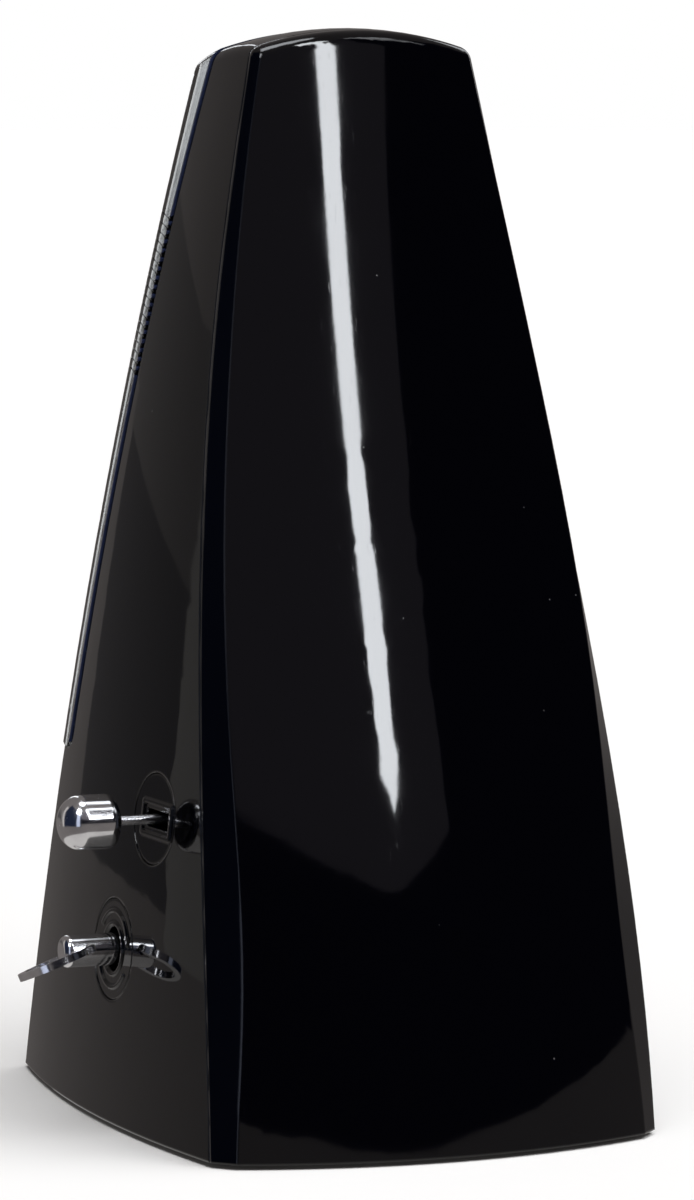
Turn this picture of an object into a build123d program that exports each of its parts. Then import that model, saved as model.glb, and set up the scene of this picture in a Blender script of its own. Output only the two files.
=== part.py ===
from build123d import *
import math
import os

# A wind-up pyramid metronome.
# Frame: +Z up, -Y is the front with the scale and the pendulum, +X is the side with the key.
# The origin is the centre of the case's foot, on the surface that the rubber feet stand on.
# Lengths are millimetres and angles are degrees.

# ---- Driving dimensions: case ----
foot_stand = 1.0            # how far the rubber feet hold the case off the surface
outline_height = 200.0      # height over which the outline formulas below run
case_height = 220.0         # bottom edge of the case to the top of its dome
dome_radius = 74.0
dome_back = 4.9             # how far behind the middle the dome peaks
dome_round = 3.3            # rounding of the dome's rim
wall = 2.2
front_corner = 2.0          # rounding of the two front corners
front_lean = 10.75          # how far the front leans back
cover_depth = 9.0           # depth of the front cover's side walls
cover_wall = 1.6
cover_proud = 0.35          # how far the cover stands out from the case's skin
cover_foot = 72.5           # lower edge of the front cover, measured up the slope of the front
cover_heel = 4.0            # rounding of the cover's lower rear corner
cover_gap = 0.3
grip_count = 18
grip_pitch = 1.9
grip_radius = 0.75
grip_start = 153.6          # the lowest grip, up the slope
seam_gap, seam_depth = 0.3, 0.4     # groove along the joint of the front and rear shells
base_thickness = 2.5
foot_radius = 5.0
foot_pocket = 1.2
base_corners = [(38.0, -45.0), (-38.0, -45.0), (38.0, 46.0), (-38.0, 46.0)]
foot_places = [(33.0, -38.0), (-33.0, -38.0), (33.0, 38.0), (-33.0, 38.0)]

# ---- Driving dimensions: key, selector and their plates, as (y, z) on the +X side ----
key_axis = (7.5, 34.8 + foot_stand)
selector_axis = (22.3, 63.1 + foot_stand)
key_plate_radius = 10.2
selector_plate_radius = 9.1
side_plate_thickness = 1.4
side_plate_sunk = 0.2       # the plates lie this deep in their seats
plate_relief = 0.35         # height of the marks and of the frame on them
selector_frame_back = 1.2   # how far the slot's frame sits behind the rod
key_stem_radius = 3.3
key_stem_reach = 11.0       # how far the stem stands out of the wall
key_pin_reach = 5.9         # how far the ring's cross hole stands out of the wall
key_ring_length = 14.8
key_ring_width = 14.0
key_ring_band = 1.7
key_ring_thickness = 1.5
key_ring_droop = 19.0
key_turn = 14.0             # how far the key is turned about its own axis
knob_radius = 5.5
knob_length = 11.9
knob_reach = 19.9           # outer end of the knob to the wall, pulled right out
selector_rod_radius = 1.0
selector_step = 1.8         # travel from one bell setting to the next

# ---- Driving dimensions: movement ----
right_plate_x = 30.0        # inner face of the right plate
left_plate_x = -20.0        # inner face of the left plate
plate_thickness = 1.5
plate_low = (-28.0, 8.0)    # front bottom corner of the plates, (y, z)
plate_high = (39.0, 85.0)
pillar_radius = 2.5
pivot_radius = 1.0
arbor_radius = 1.5
running = 0.06              # radial clearance of a pivot in its hole
winding_arbor_radius = 2.5
great_teeth, great_module = 60, 0.8
intermediate_pinion_teeth = 8
intermediate_teeth, fine_module = 60, 0.6
escape_pinion_teeth = 20
cam_pinion_teeth = 8
great_x = 8.0
great_width = 2.0
barrel_radius = 21.0
barrel_end_x = 26.0
fine_x = -13.8              # left face of the intermediate wheel
fine_width = 1.8
crown_radius = 8.5
crown_teeth = 15
crown_tip_x = -3.2
crown_depth_x = 5.0
cam_lobes = (6, 4, 3, 2)    # from right to left
cam_first_x = 6.0
cam_radius = 4.8
cam_thickness = 1.0
ratchet_radius = 9.0
ratchet_teeth = 24
hammer_axis = (33.0, 72.0)
bell_centre = (4.0, 44.0)
bell_radius = 17.0
bell_rim_x = -24.0
bell_depth = 10.0

# ---- Driving dimensions: pendulum, measured up the slope (s) and out of the front plane (d) ----
pendulum_pivot_s = 60.0
rod_depth = -5.0            # middle of the rod, behind the front plane
rod_thickness = 1.0
rod_half_width = 1.6
rod_low_s, rod_high_s = 21.0, 186.0
first_notch_s = 100.0       # lowest of the rod's notches, one for each tempo on the scale
notch_count, notch_pitch = 39, 1.68
crown_depth = -26.0         # where the escape arbor passes under the pendulum arbor
crown_drop = 2.7            # how far under it
bridge_front, bridge_back = -14.0, -40.0
bob_low_s, bob_high_s = 17.0, 41.0
bob_half_width = 15.0
bob_thickness = 10.0
tempo_weight_s = 150.0

os.makedirs("parts", exist_ok=True)


# ---- Case outline ----

def bowed(bottom, top, bow, skew, t):
    """A length that runs from bottom (t=0) to top (t=1), bowed out half-way up and skewed to one end."""
    return bottom + (top - bottom) * t + 4 * bow * t * (1 - t) + 10 * skew * t * (1 - t) * (1 - 2 * t)


def rise(z):
    return (z - foot_stand) / outline_height


def half_width(t):
    return bowed(47.3, 26.6, 4.1, 0, t)


def front_reach(t):
    return bowed(57.4, 19.6, -1.6, 0, t)


def back_reach(t):
    return bowed(58.0, 16.2, 1.0, 1.6, t)


def side_crown(t):
    return bowed(5.8, 0.8, 0, 0, t)


def back_crown(t):
    return bowed(9.2, 2.1, 0, 0, t)


def front_crown(t):
    return bowed(2.6, 1.6, 0, 0, t)


def strip_on_back(t):
    """Width that the bevel on each rear corner takes from the back face."""
    return 1.1 + 4.0 * math.exp(-((t - 0.19) / 0.26) ** 2)


def strip_on_side(t):
    """Width that the same bevel takes from the side face."""
    return 2.4 + 2.8 * math.sin(math.pi * min(max(t, 0), 1) ** 1.4)


def side_x(y, z, inset=0.0):
    """The side wall's distance from the middle plane at this depth and height."""
    t = rise(z)
    middle = (back_reach(t) - front_reach(t)) / 2
    half = (back_reach(t) + front_reach(t)) / 2
    return half_width(t) - inset + side_crown(t) * (1 - ((y - middle) / half) ** 2)


def case_section(z, inset=0.0):
    """One level outline of the case: crowned front, sides and back, round front corners, bevelled rear ones."""
    t = rise(z)
    w = half_width(t) - inset
    front = -front_reach(t) + inset
    back = back_reach(t) - inset
    middle, half = (front + back) / 2, (back - front) / 2

    def on_side(y):
        return w + side_crown(t) * (1 - ((y - middle) / half) ** 2)

    def on_back(x):
        return back + back_crown(t) * (1 - (x / w) ** 2)

    def on_front(x):
        return front - front_crown(t) * (1 - (x / w) ** 2)

    r = front_corner
    front_side = (on_side(front + r), front + r, z)
    front_face = (w - r, on_front(w - r), z)
    corner = (w - 0.25 * r, front + 0.25 * r, z)
    bevel_side = (on_side(back - strip_on_side(t)), back - strip_on_side(t), z)
    bevel_back = (w - strip_on_back(t), on_back(w - strip_on_back(t)), z)

    def mirrored(p):
        return (-p[0], p[1], p[2])

    arc = Edge.make_three_point_arc
    return Wire([
        arc(front_side, (on_side(middle), middle, z), bevel_side),
        Edge.make_line(bevel_side, bevel_back),
        arc(bevel_back, (0, on_back(0), z), mirrored(bevel_back)),
        Edge.make_line(mirrored(bevel_back), mirrored(bevel_side)),
        arc(mirrored(bevel_side), (-on_side(middle), middle, z), mirrored(front_side)),
        arc(mirrored(front_side), mirrored(corner), mirrored(front_face)),
        arc(mirrored(front_face), (0, on_front(0), z), front_face),
        arc(front_face, corner, front_side),
    ])


def case_block(inset=0.0, bottom=foot_stand):
    """The whole case as a block, its skin moved in by inset."""
    top = foot_stand + case_height + 3
    levels = [bottom + (top - bottom) * i / 7 for i in range(8)]
    block = Part() + Solid.make_loft([case_section(z, inset) for z in levels])
    apex = foot_stand + case_height - inset
    dome = Pos(0, dome_back, apex - dome_radius) * Sphere(dome_radius)
    above = Pos(0, 0, apex - 30) * Box(160, 160, 60, align=(Align.CENTER, Align.CENTER, Align.MIN))
    return block - (above - dome)


def rounded_block(inset=0.0):
    """The same block with the rim of its dome rounded."""
    block = case_block(inset)
    rim = block.edges().filter_by_position(
        Axis.Z, foot_stand + case_height - 16, foot_stand + case_height + cover_proud
    )
    return fillet(rim, dome_round)


# The front plane: x across, y up the slope, z out of the front.
lean_sin, lean_cos = math.sin(math.radians(front_lean)), math.cos(math.radians(front_lean))
front_plane = Plane(
    origin=(0, -front_reach(0), foot_stand), x_dir=(1, 0, 0), z_dir=(0, -lean_cos, lean_sin)
)


def on_front_plane(s, d):
    """(y, z) of a point s up the slope and d out of the front plane."""
    return (
        -front_reach(0) + s * lean_sin - d * lean_cos,
        foot_stand + s * lean_cos + d * lean_sin,
    )


def front_box(x, s, d):
    """A box given by its lowest and highest x, s and d."""
    size = [b - a for a, b in (x, s, d)]
    middle = [(a + b) / 2 for a, b in (x, s, d)]
    return front_plane * Pos(*middle) * Box(*size)


def front_rod(s, d_low, d_high, radius, x=0.0):
    """A cylinder square to the front plane."""
    return front_plane * Pos(x, s, (d_low + d_high) / 2) * Cylinder(radius, d_high - d_low)


def cover_space(grow=0.0):
    """The space of the front cover, with a round heel, grown by a gap or a wall."""
    low, back = cover_foot - grow, -cover_depth - grow
    block = Pos(0, (low + 320) / 2, (back + 30) / 2) * Box(160, 320 - low, 30 - back)
    heel = block.edges().filter_by(Axis.X).sort_by(lambda e: e.center().Y + e.center().Z)[0]
    return front_plane * fillet(heel, cover_heel + grow)


# ---- Small helpers ----

def on_x(x, at):
    """A plane square to X at (y, z), whose own x runs along +Y and y along +Z."""
    return Plane(origin=(x, at[0], at[1]), x_dir=(0, 1, 0), z_dir=(1, 0, 0))


def rod_x(x_low, x_high, at, radius, bore=0.0):
    """A round bar or tube along X."""
    outline = Circle(radius) - Circle(bore) if bore else Circle(radius)
    return extrude(on_x(x_low, at) * outline, x_high - x_low)


def polygon_x(x_low, x_high, points):
    """A flat plate square to X with the corners given as (y, z)."""
    return extrude(on_x(x_low, (0, 0)) * make_face(Polyline(*points, close=True)), x_high - x_low)


def polar(centre, radius, angle):
    a = math.radians(angle)
    return (centre[0] + radius * math.cos(a), centre[1] + radius * math.sin(a))


def direction(start, end):
    return math.degrees(math.atan2(end[1] - start[1], end[0] - start[0]))


def beyond(start, end, start_reach, end_reach):
    """Where two links of these lengths meet, on the upper side of the line from start to end."""
    span = math.dist(start, end)
    along = (start_reach**2 - end_reach**2 + span**2) / (2 * span)
    across = math.sqrt(start_reach**2 - along**2)
    u = ((end[0] - start[0]) / span, (end[1] - start[1]) / span)
    return (start[0] + u[0] * along + u[1] * across, start[1] + u[1] * along - u[0] * across)


def bar_x(x_low, x_high, start, end, half):
    """A flat link with round ends, square to X."""
    length = math.dist(start, end)
    middle = ((start[0] + end[0]) / 2, (start[1] + end[1]) / 2)
    outline = Rot(0, 0, direction(start, end)) * SlotCenterToCenter(length, 2 * half)
    return extrude(on_x(x_low, middle) * outline, x_high - x_low)


def save(node, *pieces):
    """Write one node; its pieces stay separate solids."""
    solids = [solid for piece in pieces for solid in piece.solids()]
    export_step(solids[0] if len(solids) == 1 else Compound(children=solids), f"parts/{node}.step")


# ---- Gears ----

def gear(teeth, module, phase, slim=1.0):
    """A toothed disc whose first tooth points along phase. The teeth taper and leave play."""
    pitch_radius = teeth * module / 2
    root = pitch_radius - 1.2 * module
    tip = pitch_radius + 0.75 * module
    pitch = 360 / teeth
    root_half, middle_half, tip_half = 0.25 * pitch * slim, 0.19 * pitch * slim, 0.07 * pitch * slim
    points = []
    for i in range(teeth):
        a = phase + i * pitch
        for radius, offset in (
            (root, -root_half), (pitch_radius, -middle_half), (tip, -tip_half),
            (tip, tip_half), (pitch_radius, middle_half), (root, root_half),
        ):
            points.append(polar((0, 0), radius, a + offset))
    return make_face(Polyline(*points, close=True))


def meshing_phase(teeth, phase, toward, mate_teeth):
    """Phase of the mate, in the given direction from the gear, that puts a gap on the gear's tooth."""
    pitch = 360 / teeth
    offset = (phase - toward + pitch / 2) % pitch - pitch / 2
    return toward + 180 - offset * teeth / mate_teeth + 180 / mate_teeth


def gear_x(x_low, width, at, teeth, module, phase, bore=0.0, slim=1.0):
    outline = gear(teeth, module, phase, slim)
    if bore:
        outline = outline - Circle(bore)
    return extrude(on_x(x_low, at) * outline, width)


def spokes_x(x_low, width, at, inner, outer, count, half):
    """Windows that leave a wheel with a rim, a hub and this many spokes."""
    ring = Circle(outer) - Circle(inner)
    for i in range(count):
        ring -= Rot(0, 0, i * 360 / count) * Pos(outer / 2, 0) * Rectangle(outer * 1.2, 2 * half)
    return extrude(on_x(x_low, at) * ring, width)


# Arbor centres, as (y, z). The escape arbor passes just under the pendulum arbor.
escape_axis = on_front_plane(pendulum_pivot_s - crown_drop, crown_depth)
great_pitch = great_teeth * great_module / 2
key_to_intermediate = great_pitch + intermediate_pinion_teeth * great_module / 2
escape_to_intermediate = (intermediate_teeth + escape_pinion_teeth) * fine_module / 2
cam_to_intermediate = (intermediate_teeth + cam_pinion_teeth) * fine_module / 2
intermediate_axis = beyond(key_axis, escape_axis, key_to_intermediate, escape_to_intermediate)
cam_axis = polar(intermediate_axis, cam_to_intermediate, 40)

great_phase = direction(key_axis, intermediate_axis)
intermediate_pinion_phase = meshing_phase(
    great_teeth, great_phase, great_phase, intermediate_pinion_teeth
)
intermediate_phase = direction(intermediate_axis, escape_axis)
escape_phase = meshing_phase(
    intermediate_teeth, intermediate_phase, intermediate_phase, escape_pinion_teeth
)
cam_phase = meshing_phase(
    intermediate_teeth, intermediate_phase, direction(intermediate_axis, cam_axis), cam_pinion_teeth
)


# ---- Side plates: flat discs that lie on the curved side wall ----

def wall_plane(at, proud=0.0):
    """A plane on the +X wall at (y, z), facing out of it."""
    y, z = at
    step = 0.5
    slope_y = (side_x(y + step, z) - side_x(y - step, z)) / (2 * step)
    slope_z = (side_x(y, z + step) - side_x(y, z - step)) / (2 * step)
    normal = Vector(1, -slope_y, -slope_z).normalized()
    return Plane(origin=Vector(side_x(y, z), y, z) + normal * proud, x_dir=(0, 1, 0), z_dir=normal)


def side_disc(at, radius, thickness, proud):
    """A disc on the side wall whose outer face stands proud of the wall's skin."""
    return extrude(wall_plane(at, proud - thickness) * Circle(radius), thickness)


# ---- Case ----

def make_case():
    outer = rounded_block()
    inner = case_block(wall, foot_stand - 1)
    return outer, inner


def seam_cutter():
    """Everything behind the seam, which runs down the side of each rear corner's bevel."""
    top = foot_stand + case_height + 5
    levels = [top * i / 8 for i in range(9)]
    seam = [(back_reach(rise(z)) - strip_on_side(rise(z)) - 0.4, z) for z in levels]
    curve = Spline(*[(y, z) for y, z in seam])
    behind = Polyline(seam[-1], (120, seam[-1][1]), (120, seam[0][1]), seam[0])
    return extrude(Plane.YZ * make_face(Curve() + [curve, behind]), 80, both=True)


def corner_boss(place):
    """A post for a base screw, with the web that ties it to the case's corner."""
    x, y = place
    low, high = foot_stand + base_thickness, foot_stand + 16
    post = Pos(x, y, (low + high) / 2) * Cylinder(3.5, high - low)
    out = math.copysign(6, x)
    web = Pos(x + out, y, (low + high) / 2) * Box(12, 3, high - low)
    hole = Pos(x, y, low + 5) * Cylinder(1.35, 10)
    return post + web, hole


def make_shells(outer, inner):
    shell = outer - inner
    for place in base_corners:
        boss, hole = corner_boss(place)
        shell = shell + (boss & outer) - hole
    bay = (outer & cover_space(cover_gap + 2.0)) - cover_space(cover_gap)
    shell = shell - cover_space(cover_gap) + bay
    behind = seam_cutter()
    rear = shell & behind
    groove = (Pos(0, -seam_gap, 0) * behind) & (outer - rounded_block(seam_depth))
    front = shell - behind - groove

    # The pendulum's way through the ledge, and the two slots for the cover's hooks.
    front -= front_box((-6.5, 6.5), (cover_foot - 6, cover_foot + 1), (rod_depth - 2, rod_depth + 2))
    for x in (-24, 24):
        front -= front_box((x - 3.5, x + 3.5), (cover_foot - 6, cover_foot), (-3.6, -0.9))

    # Pocket and screw holes for the scale.
    front -= scale_outline(-cover_depth - cover_gap - 1.0, -cover_depth + 1, 0.15)
    for s in scale_screw_places:
        front -= front_rod(s, -cover_depth - 6, -cover_depth, 1.05)

    front -= grip_notches()

    # Seats for the two round plates, and the holes behind them.
    for at, radius, hole in (
        (key_axis, key_plate_radius, 7.0), (selector_axis, selector_plate_radius, 6.5),
    ):
        front -= side_disc(at, radius + 0.2, side_plate_thickness + 2, 2 - side_plate_sunk)
        front -= rod_x(30, 60, at, hole)
    return front, rear


scale_low_s, scale_high_s = cover_foot + 5, 177.0
scale_screw_places = (scale_low_s + 3.5, scale_high_s - 3.5)


def scale_outline(d_low, d_high, grow=0.0):
    """The tapering scale, as a slab between two depths."""
    corners = []
    for s in (scale_low_s - grow, scale_high_s + grow):
        half = half_width(rise(on_front_plane(s, -cover_depth)[1])) - 8 + grow
        corners.append((half, s))
    (low_half, low), (high_half, high) = corners
    outline = make_face(
        Polyline((-low_half, low), (low_half, low), (high_half, high), (-high_half, high), close=True)
    )
    return extrude(front_plane * Pos(0, 0, d_low) * outline, d_high - d_low)


def grip_places():
    return [grip_start + i * grip_pitch for i in range(grip_count)]


def grip_notches():
    """Short round cuts into both sides of the joint between the cover and the case, one for each grip."""
    cuts = Part()
    for s in grip_places():
        cuts += front_plane * Pos(0, s, -cover_depth - cover_gap / 2) * Rot(0, 90, 0) * Cylinder(grip_radius, 140)
    return cuts - front_box((-25, 25), (0, 300), (-20, 10))


def make_cover():
    hollow = case_block(cover_wall, foot_stand - 1)
    cover = (rounded_block(-cover_proud) - hollow) & cover_space()
    middle = front_box((-22, 22), (grip_start - 5, 200), (-20, 30))
    grooves = Part()
    for s in grip_places():
        grooves += front_box((-60, 60), (s - 0.15, s + 0.15), (-cover_depth - 1, -0.8))
    skin = case_block(0.25 - cover_proud)
    cover -= grooves - skin - middle
    cover -= grip_notches()
    for x in (-24, 24):
        cover += front_box((x - 3, x + 3), (cover_foot - 2.2, cover_foot + 3), (-2.4, -1.2))
    return cover


def make_base():
    """The base plate with its screw holes, foot pockets and the four stands for the movement."""
    low = foot_stand
    outline = make_face(case_section(foot_stand + base_thickness + 1, wall + 0.3))
    plate = Pos(0, 0, low - outline.center().Z) * outline
    base = extrude(plate, base_thickness, dir=(0, 0, 1))
    screws = []
    for x, y in base_corners:
        base -= Pos(x, y, low + 1) * Cylinder(1.7, 8)
        base -= Pos(x, y, low + 0.55) * Cylinder(3.1, 1.5)
        head = Pos(x, y, low + 0.75) * Cylinder(2.8, 1.0)
        slot = Pos(x, y, low + 0.3) * Box(4.2, 0.8, 0.6)
        shank = Pos(x, y, low + 5.7) * Cylinder(1.25, 9.0)
        screws.append(head + shank - slot)
    feet = []
    for x, y in foot_places:
        base -= Pos(x, y, low + foot_pocket / 2 - 0.5) * Cylinder(foot_radius + 0.1, foot_pocket + 1)
        foot = Pos(x, y, (low + foot_pocket) / 2) * Cylinder(foot_radius, low + foot_pocket)
        feet.append(chamfer(foot.edges().group_by(Axis.Z)[0], 0.4))
    flange_screws = []
    for x, y in flange_places():
        base += Pos(x, y, (low + base_thickness + plate_low[1] - 1.5) / 2) * Cylinder(
            4, plate_low[1] - 1.5 - low - base_thickness
        )
        base -= Pos(x, y, plate_low[1] - 3) * Cylinder(1.1, 5)
        flange_screws.append(
            Pos(x, y, plate_low[1] + 0.6) * Cylinder(2.2, 1.2)
            + Pos(x, y, plate_low[1] - 2.0) * Cylinder(1.0, 4.2)
        )
    return base, screws, feet, flange_screws


# ---- Movement frame ----

def flange_places():
    """Centres of the movement's four fixing screws, (x, y)."""
    xs = (left_plate_x - plate_thickness - 4.5, right_plate_x + plate_thickness + 4.5)
    return [(x, y) for x in xs for y in (plate_low[0] + 10, plate_high[0] - 10)]


pillar_places = [
    (plate_low[0] + 5, plate_low[1] + 4), (plate_high[0] - 4, plate_low[1] + 4),
    (plate_high[0] - 4, plate_high[1] - 4), (plate_low[0] + 5, plate_high[1] - 4),
]


def movement_plate(x_low, outward, holes):
    """One side plate, with a flange at its foot that points outward (+1 or -1 along X)."""
    y_low, z_low = plate_low
    y_high, z_high = plate_high
    outline = Pos((y_low + y_high) / 2, (z_low + z_high) / 2) * RectangleRounded(
        y_high - y_low, z_high - z_low, 5
    )
    flat = Pos((y_low + y_high) / 2, z_low + 3) * Rectangle(y_high - y_low, 6)
    plate = extrude(on_x(x_low, (0, 0)) * (outline + flat), plate_thickness)
    start = x_low + plate_thickness if outward > 0 else x_low - 9
    for _, y in flange_places()[:2]:
        tab = Pos(start + 4.5, y, z_low - plate_thickness / 2) * Box(9, 12, plate_thickness)
        under = Pos(x_low + plate_thickness / 2, y, z_low - plate_thickness / 2) * Box(
            plate_thickness, 12, plate_thickness
        )
        plate += tab + under
    for x, y in flange_places():
        plate -= Pos(x, y, z_low) * Cylinder(1.1, 8)
    for at, radius in holes:
        plate -= rod_x(x_low - 1, x_low + plate_thickness + 1, at, radius)
    return plate


def make_frame():
    """The two plates, their pillars and the pillar screws."""
    shared = [
        (intermediate_axis, pivot_radius + running), (cam_axis, pivot_radius + running),
        (selector_axis, selector_rod_radius + running),
    ] + [(at, 1.05) for at in pillar_places]
    right = movement_plate(
        right_plate_x, 1,
        shared + [(key_axis, winding_arbor_radius + running), (hammer_axis, pivot_radius + running),
                  (click_axis, 1.05)],
    )
    left = movement_plate(
        left_plate_x - plate_thickness, -1,
        shared + [(key_axis, winding_arbor_radius + running), (hammer_axis, 1.25 + running),
                  (escape_axis, pivot_radius + running), (bell_centre, 1.55)],
    )
    pillars, screws = [], []
    for at in pillar_places:
        pillar = rod_x(left_plate_x, right_plate_x, at, pillar_radius)
        pillar -= rod_x(left_plate_x, left_plate_x + 4, at, 1.05)
        pillar -= rod_x(right_plate_x - 4, right_plate_x, at, 1.05)
        pillars.append(pillar)
        outer = right_plate_x + plate_thickness
        screws.append(rod_x(right_plate_x - 3, outer, at, 1.0) + rod_x(outer, outer + 1.2, at, 2.2))
        outer = left_plate_x - plate_thickness
        screws.append(rod_x(outer, left_plate_x + 3, at, 1.0) + rod_x(outer - 1.2, outer, at, 2.2))
    return right, left, pillars, screws


# ---- Winding, mainspring and ratchet ----

key_wall_x = side_x(*key_axis)
key_pin_x = key_wall_x + key_pin_reach
click_axis = polar(key_axis, 15.0, 118)


def make_winding():
    stem_start = right_plate_x + plate_thickness + 3
    stem_end = key_wall_x + key_stem_reach
    arbor = rod_x(left_plate_x - plate_thickness - 0.6, right_plate_x + plate_thickness + 1,
                  key_axis, winding_arbor_radius)
    arbor += rod_x(right_plate_x, stem_start + 8, key_axis, 1.5)
    stem = rod_x(stem_start, stem_end, key_axis, key_stem_radius)
    stem = fillet(stem.edges().sort_by(Axis.X)[-1], 1.6)
    stem -= rod_x(stem_start - 1, stem_start + 8.5, key_axis, 1.55)
    y, z = key_axis
    stem -= Pos(key_pin_x, y, z) * Rot(90 + key_turn, 0, 0) * Cylinder(1.1, 20)
    return arbor, stem


def make_key_ring():
    """A flat leaf-shaped bail on a cross bar through the stem, drawn along +X and then let droop."""
    half_width, half_length = key_ring_width / 2, key_ring_length / 2 + 0.5
    middle = key_ring_length - half_length
    clear = key_stem_radius + 0.4
    outline = Pos(middle, 0) * Ellipse(half_length, half_width)
    outline += Pos(0.8, 0) * RectangleRounded(3.4, 2 * clear + 2.4, 0.9)
    opening = Pos(middle, 0) * Ellipse(half_length - key_ring_band, half_width - key_ring_band)
    opening += Pos(1.6, 0) * Rectangle(7.0, 2 * clear)
    flat = extrude(outline - opening, key_ring_thickness / 2, both=True)
    bar = Rot(90, 0, 0) * Cylinder(key_ring_thickness / 2, 2 * clear + 1.0)
    y, z = key_axis
    return Pos(key_pin_x, y, z) * Rot(key_turn, 0, 0) * Rot(0, key_ring_droop, 0) * (flat + bar)


def make_barrel():
    """The great wheel with the drum on its right side, its lid, and the mainspring inside."""
    bore = winding_arbor_radius + running
    drum_start = great_x + great_width
    lid_start = barrel_end_x - 1.5
    wheel = gear_x(great_x, great_width, key_axis, great_teeth, great_module, great_phase, bore)
    wheel += rod_x(drum_start, lid_start, key_axis, barrel_radius, barrel_radius - 1.2)
    lid = rod_x(lid_start, barrel_end_x, key_axis, barrel_radius, bore)
    lid -= spokes_x(lid_start - 1, 4, key_axis, barrel_radius - 6, barrel_radius - 4, 4, 8)
    return wheel, lid, mainspring(drum_start + 0.8, lid_start - 0.8)


def mainspring(x_low, x_high):
    """A flat strip coiled from the arbor out to the drum."""
    turns, strip = 8, 0.5
    first, last = winding_arbor_radius + 0.9, barrel_radius - 2.2
    steps = turns * 12

    def side(offset):
        return [
            polar((0, 0), first + (last - first) * i / steps + offset, 30 * i)
            for i in range(steps + 1)
        ]

    inside, outside = side(0), side(strip)
    outline = Curve() + [
        Spline(*inside), Line(inside[-1], outside[-1]), Spline(*outside), Line(outside[0], inside[0]),
    ]
    return extrude(on_x(x_low, key_axis) * make_face(outline), x_high - x_low)


def make_ratchet():
    """A saw-toothed wheel on the winding arbor, and the click with its screw and spring."""
    pitch = 360 / ratchet_teeth
    points = []
    for i in range(ratchet_teeth):
        points.append(polar((0, 0), ratchet_radius, i * pitch))
        points.append(polar((0, 0), ratchet_radius - 1.4, i * pitch + 0.1 * pitch))
    outline = make_face(Polyline(*points, close=True)) - Circle(winding_arbor_radius + 0.02)
    wheel = extrude(on_x(barrel_end_x + 0.8, key_axis) * outline, 1.6)

    low, high = barrel_end_x + 0.9, barrel_end_x + 2.3
    tip = polar(key_axis, ratchet_radius + 1.0, 72)
    click = bar_x(low, high, click_axis, tip, 0.7) + rod_x(low, high, click_axis, 2.2)
    click -= rod_x(low - 1, high + 1, click_axis, 1.0 + running)
    screw = rod_x(low - 0.7, right_plate_x + plate_thickness, click_axis, 1.0)
    screw += rod_x(low - 0.9, low - 0.2, click_axis, 1.9)
    spring_foot = polar(click_axis, 9.0, 60)
    spring = bar_x(low + 0.3, high - 0.3, spring_foot, polar(click_axis, 3.0, 20), 0.2)
    spring += rod_x(low + 0.3, right_plate_x, spring_foot, 0.9)
    return wheel, click, screw, spring


# ---- Train ----

def make_train():
    ends = (left_plate_x - plate_thickness, right_plate_x + plate_thickness)

    def arbor(at, x_low=ends[0], x_high=ends[1], shoulder=(left_plate_x + 0.4, right_plate_x - 0.4)):
        return rod_x(x_low, x_high, at, pivot_radius) + rod_x(*shoulder, at, arbor_radius)

    fit = arbor_radius + 0.02
    intermediate = arbor(intermediate_axis)
    intermediate += gear_x(great_x - 1, great_width + 2, intermediate_axis, intermediate_pinion_teeth,
                           great_module, intermediate_pinion_phase, slim=0.9)
    wheel = gear_x(fine_x, fine_width, intermediate_axis, intermediate_teeth, fine_module,
                   intermediate_phase, fit)
    wheel -= spokes_x(fine_x - 1, 4, intermediate_axis, 5, 14.5, 5, 1.3)

    bracket_x = 6.0
    escape = arbor(escape_axis, x_high=bracket_x, shoulder=(left_plate_x + 0.4, crown_tip_x - crown_depth_x))
    escape += gear_x(fine_x - 0.8, fine_width + 1.6, escape_axis, escape_pinion_teeth, fine_module,
                     escape_phase)
    crown = crown_wheel()

    cam = arbor(cam_axis)
    cam += gear_x(fine_x - 0.8, fine_width + 1.6, cam_axis, cam_pinion_teeth, fine_module, cam_phase,
                  slim=0.9)
    cams = []
    for i, lobes in enumerate(cam_lobes):
        cams.append(beat_cam(cam_first_x - i * selector_step, lobes, fit))
    return intermediate, wheel, escape, crown, cam, cams


def crown_wheel():
    """A cup-shaped escape wheel whose saw teeth point along +X at the pendulum arbor."""
    back_x = crown_tip_x - crown_depth_x
    cup = rod_x(back_x, crown_tip_x, escape_axis, crown_radius, crown_radius - 1.2)
    cup += rod_x(back_x, back_x + 1.2, escape_axis, crown_radius - 0.6, pivot_radius + 0.02)
    cup -= spokes_x(back_x - 1, 4, escape_axis, 3, 6, 4, 1.0)
    for i in range(crown_teeth):
        turn = Pos(0, *escape_axis) * Rot(i * 360 / crown_teeth, 0, 0)
        notch = Pos(crown_tip_x - 0.2, 0, crown_radius - 0.6) * Rot(28, 0, 0) * Box(2.8, 1.9, 4.0)
        cup -= turn * notch
    return cup


def beat_cam(x, lobes, bore):
    """A thin cam with this many round lobes; one passes the follower every so many beats."""
    outline = Circle(cam_radius - 1.6)
    for i in range(lobes):
        outline += Rot(0, 0, i * 360 / lobes) * Pos(cam_radius - 1.2, 0) * Circle(1.2)
    return extrude(on_x(x - cam_thickness / 2, cam_axis) * (outline - Circle(bore)), cam_thickness)


# ---- Pendulum ----

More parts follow.
